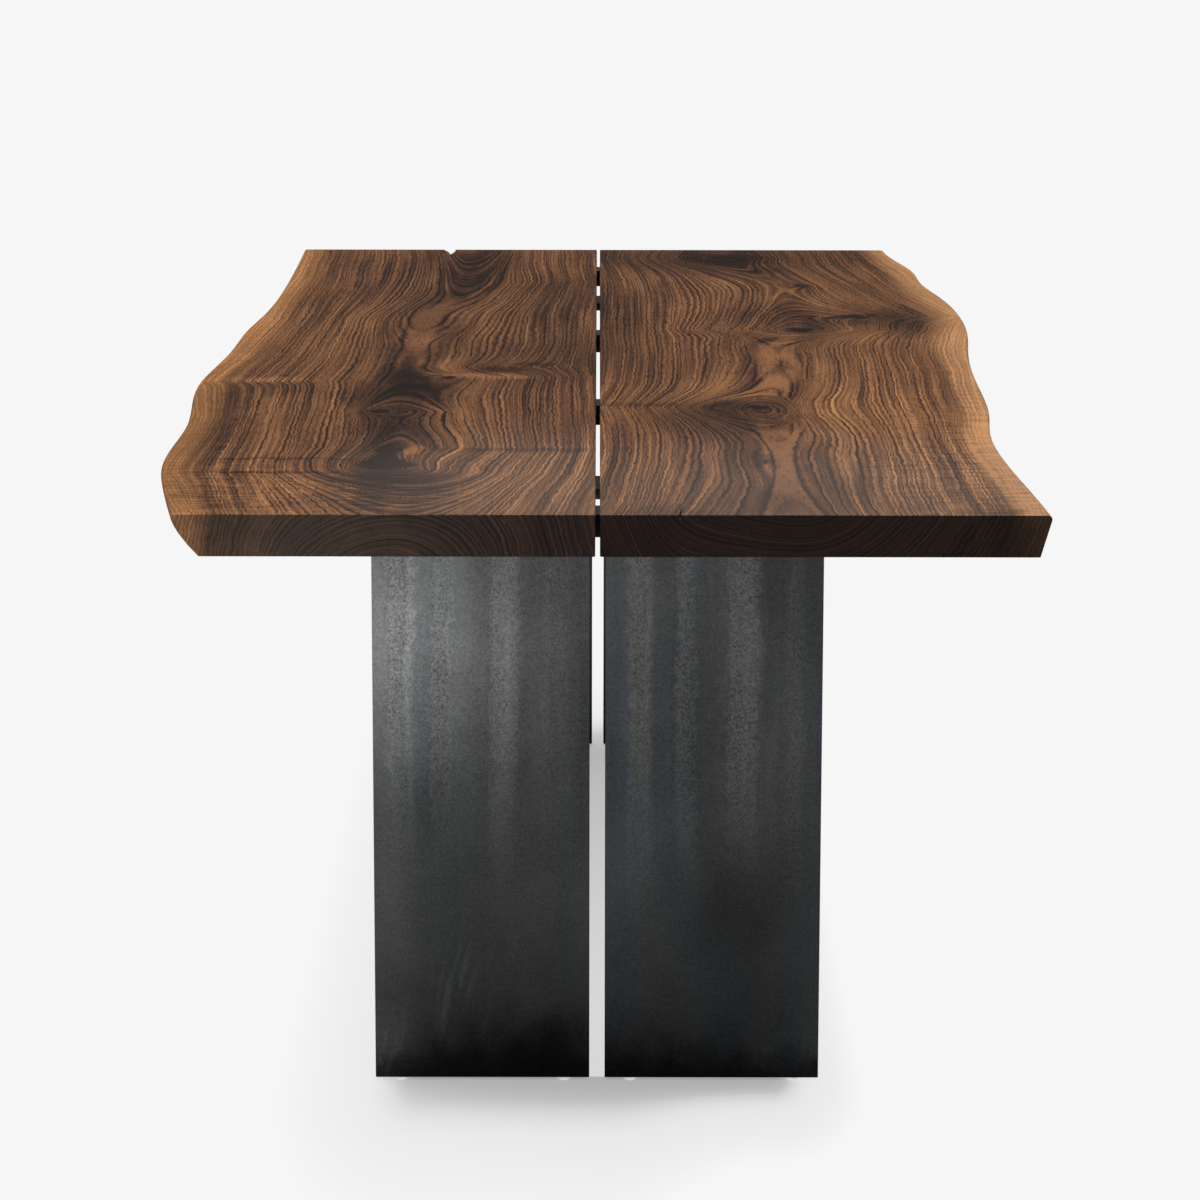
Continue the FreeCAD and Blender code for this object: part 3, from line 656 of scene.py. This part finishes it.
def plate_light(tree, position):
    """Painted shade darkens it at the foot and painted highlights lighten it above and at the top left,
    and it is banded across by the rolling.
    """
    ragged = swing(tree, position, (7.0, 7.0, 10.0), 3.0)
    sway = swing(tree, position, (60.0, 60.0, 200.0), 2.0)
    drip = swing(tree, position, (34.0, 34.0, 40.0), 4.0)
    place = add_node(tree, "SeparateXYZ", Vector=position).outputs
    wavy = calc(tree, "MULTIPLY_ADD", ragged, 16.0, calc(tree, "MULTIPLY_ADD", sway, 22.0, place["X"]))
    height = calc(tree, "MULTIPLY_ADD", drip, 50.0, calc(tree, "MULTIPLY_ADD", ragged, 24.0, place["Z"]))

    def shaded(spots):
        """The sum of some soft spots at each point: painted light and shade, or scuffs."""
        total = 0.0
        for middle, level, half_width, half_height, strength in spots:
            across = calc(tree, "DIVIDE", calc(tree, "SUBTRACT", wavy, middle), half_width)
            above = calc(tree, "DIVIDE", calc(tree, "SUBTRACT", height, level), half_height)
            away = calc(tree, "MULTIPLY_ADD", across, across, calc(tree, "MULTIPLY", above, above))
            near = calc(tree, "EXPONENT", calc(tree, "MULTIPLY", away, -1.0))
            total = calc(tree, "MULTIPLY_ADD", near, strength, total)
        return total

    # Painted shade: the colour darkens from the top of the plate down to its foot
    painted_shade_up = [(0.0, 0.008), (0.03, 0.018), (0.07, 0.055), (0.14, 0.095), (0.24, 0.14), (0.36, 0.165),
               (0.5, 0.17), (0.65, 0.2), (0.8, 0.255), (1.0, 0.27)]
    level = along_curve(tree, calc(tree, "DIVIDE", height, plate_height), painted_shade_up, 0.0, 0.5)
    stripes = 0.0
    for middle, half_width, strength in rolled_bands:
        off = calc(tree, "ABSOLUTE", calc(tree, "SUBTRACT", wavy, middle))
        band = fade(tree, off, half_width + 6.0, half_width - 5.0)
        stripes = calc(tree, "MULTIPLY_ADD", band, strength, stripes)
    upper = fade(tree, place["Z"], 160.0, 460.0)
    stripes = calc(tree, "MULTIPLY", stripes, upper)
    # The painted light spots lighten and darken the level: painted highlights and painted shade
    level = calc(tree, "MULTIPLY", level, calc(tree, "ADD", shaded(plate_painted_light), 1.0))
    level = calc(tree, "MULTIPLY", level, calc(tree, "ADD", stripes, 0.88))
    blue = spread(tree, fade(tree, place["X"], -80.0, 60.0), 0.2, 0.6)
    blue = calc(tree, "MULTIPLY", blue, fade(tree, stripes, 0.4, 0.05))
    rolled = calc(tree, "MULTIPLY_ADD", stripes, 1.2, spread(tree, upper, 0.2, 0.45))
    return level, upper, blue, rolled, shaded(plate_scuffs)


plates = ["leg_plate_" + end + "_" + side for end in ("front", "back") for side in ("left", "right")]
dress(plates, scaled_steel("blackened_steel", plate_light))

# Head bars: a flat of the same steel lies across the top of each pair of plates, let in flush with the
# underside of the planks. It is blackened like the plates, and seen only from below and through the gap.


def head_light(tree, position):
    """Even and dark all over."""
    level, bands, blue, rolled, scuff = 0.16, 0.25, 0.4, 0.3, 0.2
    return level, bands, blue, rolled, scuff


dress(["leg_head_front", "leg_head_back"], scaled_steel("head_steel", head_light))

# Welds: a fillet bead on both faces of each plate joins it to its head bar. The beads are laid by hand in
# short even steps that leave a row of ripples, then brushed and oiled, and are brighter than the plates.


def clouded_finish(name, patch_size, tones, edges, rough, metallic=0.0):
    """A finish that clouds from one tone to another, and from one roughness to another."""
    material, tree, shader = new_material(name)
    position = millimetres(tree)
    cloud = noise(tree, position, patch_size, 3.0)
    feed(tree, shader.inputs["Base Color"], blend(tree, fade(tree, cloud, *edges), *tones))
    feed(tree, shader.inputs["Roughness"], spread(tree, cloud, *rough))
    shader.inputs["Metallic"].default_value = metallic
    return material, tree, shader, position


weld_inset = 0.008
weld_leg = 0.0048
weld_step = 0.0032
ripple_half_length = 0.0029
weld_straw = screen(124, 112, 96)
weld_grey = screen(96, 98, 100)
weld_metal, tree, shader, position = clouded_finish(
    "weld_steel", (14.0, 6.0, 6.0), (weld_grey, weld_straw), edges=(0.35, 0.65), rough=(0.3, 0.5),
    metallic=0.9)
pitted = noise(tree, position, (0.9, 0.9, 0.9), 2.0)
emboss(tree, shader, pitted, strength=0.3, depth=0.0003)


def weld_bead(plate):
    """A bead in the corner between a plate's front face and the head bar: one ripple, repeated along it."""
    low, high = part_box(plate)
    corner = (low.x + weld_inset + weld_step / 2, low.y, high.z)
    bpy.ops.object.select_all(action="DESELECT")
    bpy.ops.mesh.primitive_uv_sphere_add(segments=20, ring_count=12, radius=weld_leg, location=corner)
    bead = bpy.context.object
    bead.rotation_euler.y = math.pi / 2
    bead.scale.z = ripple_half_length / weld_leg
    bpy.ops.object.transform_apply(location=True, rotation=True, scale=True)
    bpy.ops.object.mode_set(mode="EDIT")
    for side in ((0.0, -1.0, 0.0), (0.0, 0.0, -1.0)):
        bpy.ops.mesh.select_all(action="SELECT")
        bpy.ops.mesh.bisect(plane_co=corner, plane_no=side, use_fill=True, clear_inner=True)
    for turn in (-1, 1):
        end = (corner[0] + turn * weld_step / 2, corner[1], corner[2])
        bpy.ops.mesh.select_all(action="SELECT")
        bpy.ops.mesh.bisect(plane_co=end, plane_no=(turn, 0.0, 0.0), clear_outer=True)
    bpy.ops.object.mode_set(mode="OBJECT")
    bpy.ops.object.modifier_add(type="ARRAY")
    row = bead.modifiers[-1]
    row.count = round((high.x - low.x - 2 * weld_inset) / weld_step)
    row.use_relative_offset = False
    row.use_constant_offset = True
    row.constant_offset_displace = (weld_step, 0.0, 0.0)
    row.use_merge_vertices = True
    row.merge_threshold = 0.00005
    bpy.ops.object.modifier_apply(modifier=row.name)
    bpy.ops.object.mode_set(mode="EDIT")
    bpy.ops.mesh.select_all(action="SELECT")
    bpy.ops.mesh.fill_holes(sides=0)
    bpy.ops.mesh.normals_make_consistent(inside=False)
    bpy.ops.object.mode_set(mode="OBJECT")
    bpy.ops.object.shade_smooth_by_angle(angle=math.radians(40.0))
    return bead


for end in ("front", "back"):
    beads = []
    for side in ("left", "right"):
        plate = "leg_plate_" + end + "_" + side
        bead = weld_bead(plate)
        low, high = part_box(plate)
        bpy.ops.object.duplicate()
        bpy.ops.transform.rotate(value=math.pi, orient_axis="Z", center_override=(low + high) / 2)
        bpy.ops.object.transform_apply(location=True, rotation=True, scale=True)
        beads += [bead, bpy.context.object]
    for bead in beads:
        bead.select_set(True)
    bpy.ops.object.join()
    welds = bpy.context.object
    welds.name = "weld_beads_" + end
    welds.data.materials.append(weld_metal)
    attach(welds, "table")
    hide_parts("leg_welds_" + end)

# Channels: four rolled steel channels, open side down, lie in grooves across the underside and keep the
# planks flat. They are powder coated black, with the fine dimpled skin that the powder leaves.
powder_black = screen(17, 17, 18)
powder_grey = screen(25, 25, 26)
channels = ["channel_front_end", "channel_front_mid", "channel_back_mid", "channel_back_end"]
channel_coat, tree, shader, position = clouded_finish(
    "powder_coat", (90.0, 40.0, 40.0), (powder_black, powder_grey), edges=(0.35, 0.7),
    rough=(0.4, 0.56))
shader.inputs["Specular IOR Level"].default_value = 0.2
dimple = noise(tree, position, (1.4, 1.4, 1.4), 2.0)
emboss(tree, shader, dimple, strength=0.35, depth=0.0003)
dress(channels, channel_coat)

# Bolts and washers: low-headed socket bolts on flat washers hold the head bars and channels, in slots that
# let the wood move. They are turned or pressed steel with a thin bright zinc plate.
zinc_bright = screen(186, 188, 190)
zinc_dull = screen(148, 150, 156)
fastener_zinc, tree, shader, position = clouded_finish(
    "zinc_plate", (3.0, 3.0, 3.0), (zinc_dull, zinc_bright), edges=(0.3, 0.7), rough=(0.22, 0.42),
    metallic=1.0)
turned = noise(tree, position, (40.0, 40.0, 0.35), 1.0)
emboss(tree, shader, turned, strength=0.15, depth=0.0002)
dress(["head_bolts", "head_washers", "channel_bolts", "channel_washers"], fastener_zinc)

# Inserts: threaded brass sleeves driven into bores in the underside take the bolts. The brass is turned
# from bar and left raw, so it has gone a little brown.
brass_raw = screen(190, 152, 88)
brass_brown = screen(142, 106, 60)
insert_metal, tree, shader, position = clouded_finish(
    "raw_brass", (5.0, 5.0, 4.0), (brass_raw, brass_brown), edges=(0.35, 0.7), rough=(0.26, 0.48),
    metallic=1.0)
turned = noise(tree, position, (40.0, 40.0, 0.5), 1.0)
emboss(tree, shader, turned, strength=0.25, depth=0.0002)
dress(["head_inserts", "channel_inserts"], insert_metal)

# Glides: a small pad of white nylon, moulded round the head of a threaded steel stud. The studs screw into
# tapped holes in the bottom edges of the plates to level the table.
thread_pitch = 1.0
stud_names = [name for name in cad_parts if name.startswith("glide_stud")]
stud_zinc, tree, shader, position = clouded_finish(
    "threaded_zinc", (2.5, 2.5, 2.5), (zinc_dull, zinc_bright), edges=(0.3, 0.7), rough=(0.25, 0.42),
    metallic=1.0)
up = add_node(tree, "SeparateXYZ", Vector=position).outputs["Z"]
thread_turn = calc(tree, "FRACT", calc(tree, "DIVIDE", up, thread_pitch))
thread_flank = calc(tree, "ABSOLUTE", calc(tree, "SUBTRACT", thread_turn, 0.5))
emboss(tree, shader, thread_flank, strength=1.0, depth=0.0006)
dress(stud_names, stud_zinc)
pad_names = [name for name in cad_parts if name.startswith("glide_pad")]
nylon_white = screen(246, 246, 243)
nylon_worn = screen(228, 227, 223)
wear_size = (4.0, 4.0, 1.2)
pad_nylon, tree, shader, position = clouded_finish(
    "white_nylon", wear_size, (nylon_white, nylon_worn), edges=(0.4, 0.7), rough=(0.18, 0.36))
emboss(tree, shader, noise(tree, position, wear_size, 3.0), strength=0.1, depth=0.0002)
# Painted light: the white nylon glows faintly so that the pads stay white in the shade of the plates
shader.inputs["Emission Color"].default_value = nylon_white
shader.inputs["Emission Strength"].default_value = 0.3
dress(pad_names, pad_nylon)

# Floor: a plain pale floor that runs into a background of the same tone. It glows in that tone, and a
# painted mask lets the lamps' shade through only round the table's feet, so the shadow there is real shade
# with a painted outline and depth


def seen_directly(tree):
    """1 where the camera, a reflection or glass shows the surface, and 0 where it only gives light."""
    rays = add_node(tree, "LightPath").outputs
    mirrored = calc(tree, "MAXIMUM", rays["Is Glossy Ray"], rays["Is Transmission Ray"])
    return calc(tree, "MAXIMUM", rays["Is Camera Ray"], mirrored)


paper_tone = screen(246, 246, 246)
shadow_half_width = 0.205
shadow_half_length = 0.75
shadow_reach = 0.45
left_fall, right_fall = 2.8, 4.4
bpy.ops.object.select_all(action="DESELECT")
bpy.ops.mesh.primitive_plane_add(size=80.0)
floor = bpy.context.object
floor.name = "floor"
paper, tree, shader = new_material("pale_paper")
feed(tree, shader.inputs["Base Color"], paper_tone)
shader.inputs["Roughness"].default_value = 0.9
shader.inputs["Specular IOR Level"].default_value = 0.0
glow = add_node(tree, "Emission", Color=paper_tone, Strength=1.0)
place = add_node(tree, "SeparateXYZ", Vector=add_node(tree, "TexCoord").outputs["Object"]).outputs
# Painted shadow: these masks set how much glow covers the real shade, and so draw the shadow's outline
beside = calc(tree, "SUBTRACT", calc(tree, "ABSOLUTE", place["X"]), shadow_half_width)
beside = calc(tree, "MAXIMUM", beside, 0.0)
side_fall = spread(tree, fade(tree, place["X"], -0.1, 0.1), left_fall, right_fall)
beside = calc(tree, "MULTIPLY", beside, side_fall)
beyond = calc(tree, "SUBTRACT", calc(tree, "ABSOLUTE", place["Y"]), shadow_half_length)
beyond = calc(tree, "MAXIMUM", beyond, 0.0)
further = calc(tree, "MULTIPLY", beyond, 0.8)
beyond = calc(tree, "MULTIPLY_ADD", fade(tree, place["X"], 0.0, 0.2), further, beyond)
away = calc(tree, "MULTIPLY_ADD", beside, beside, calc(tree, "MULTIPLY", beyond, beyond))
away = calc(tree, "SQRT", away)
shadow_fall = [(0.0, 0.3), (0.12, 0.35), (0.26, 0.62), (0.39, 0.79), (0.52, 0.83), (0.76, 0.88),
               (1.0, 0.97)]
bright = along_curve(tree, calc(tree, "DIVIDE", away, shadow_reach), shadow_fall, 0.0, 1.0)
between = fade(tree, calc(tree, "ABSOLUTE", place["Y"]), shadow_half_length, shadow_half_length - 0.01)
between_middle = spread(tree, fade(tree, place["Y"], 0.7, -0.7), 0.36, 0.66)
to_side = fade(tree, calc(tree, "ABSOLUTE", place["X"]), 0.0, 0.28)
between_bright = choose(tree, to_side, between_middle, 0.8)
bright = choose(tree, between, bright, calc(tree, "MAXIMUM", bright, between_bright))
mixed = add_node(tree, "MixShader")
feed(tree, mixed.inputs[0], calc(tree, "MULTIPLY", seen_directly(tree), bright))
tree.links.new(shader.outputs[0], mixed.inputs[1])
tree.links.new(glow.outputs[0], mixed.inputs[2])
tree.links.new(mixed.outputs[0], tree.nodes["Material Output"].inputs["Surface"])
floor.data.materials.append(paper)

# Light: a large soft lamp overhead and an even pale surround. Where the surround is seen it has the tone
# of the floor, so that the two run into each other.
world = bpy.data.worlds.new("pale_surround")
bpy.context.scene.world = world
world.use_nodes = True
tree = world.node_tree
surround = tree.nodes["Background"]
surround.inputs["Color"].default_value = (1.0, 1.0, 1.0, 1.0)
background_level = paper_tone[0]
surround_level = 0.55
level = choose(tree, seen_directly(tree), surround_level, background_level)
feed(tree, surround.inputs["Strength"], level)

lamp = bpy.data.lights.new("overhead_lamp", "SUN")
lamp.energy = 1.5
lamp.angle = math.radians(60.0)
lamp_object = bpy.data.objects.new("overhead_lamp", lamp)
lamp_object.rotation_euler = (math.radians(-14.0), math.radians(-12.0), 0.0)
bpy.context.scene.collection.objects.link(lamp_object)

# Camera: at one end of the table, a little above the top, with a long lens that is shifted down so that
# the legs stand nearly upright in the picture
camera = bpy.data.cameras.new("camera")
camera.lens = 107.6
camera.sensor_width = 36.0
camera.shift_y = -0.18
camera_object = bpy.data.objects.new("camera", camera)
pitch, yaw, roll = math.radians(9.4264), math.radians(-0.0195), math.radians(0.0916)
turn = Matrix.Rotation(yaw, 3, "Z") @ Matrix.Rotation(math.pi / 2 - pitch, 3, "X")
turn = turn @ Matrix.Rotation(roll, 3, "Z")
camera_object.rotation_euler = turn.to_euler()
camera_object.location = (0.001, -4.7983, 1.5039)
bpy.context.scene.collection.objects.link(camera_object)
bpy.context.scene.camera = camera_object

# The colours go into the picture unchanged
bpy.context.scene.view_settings.view_transform = "Standard"
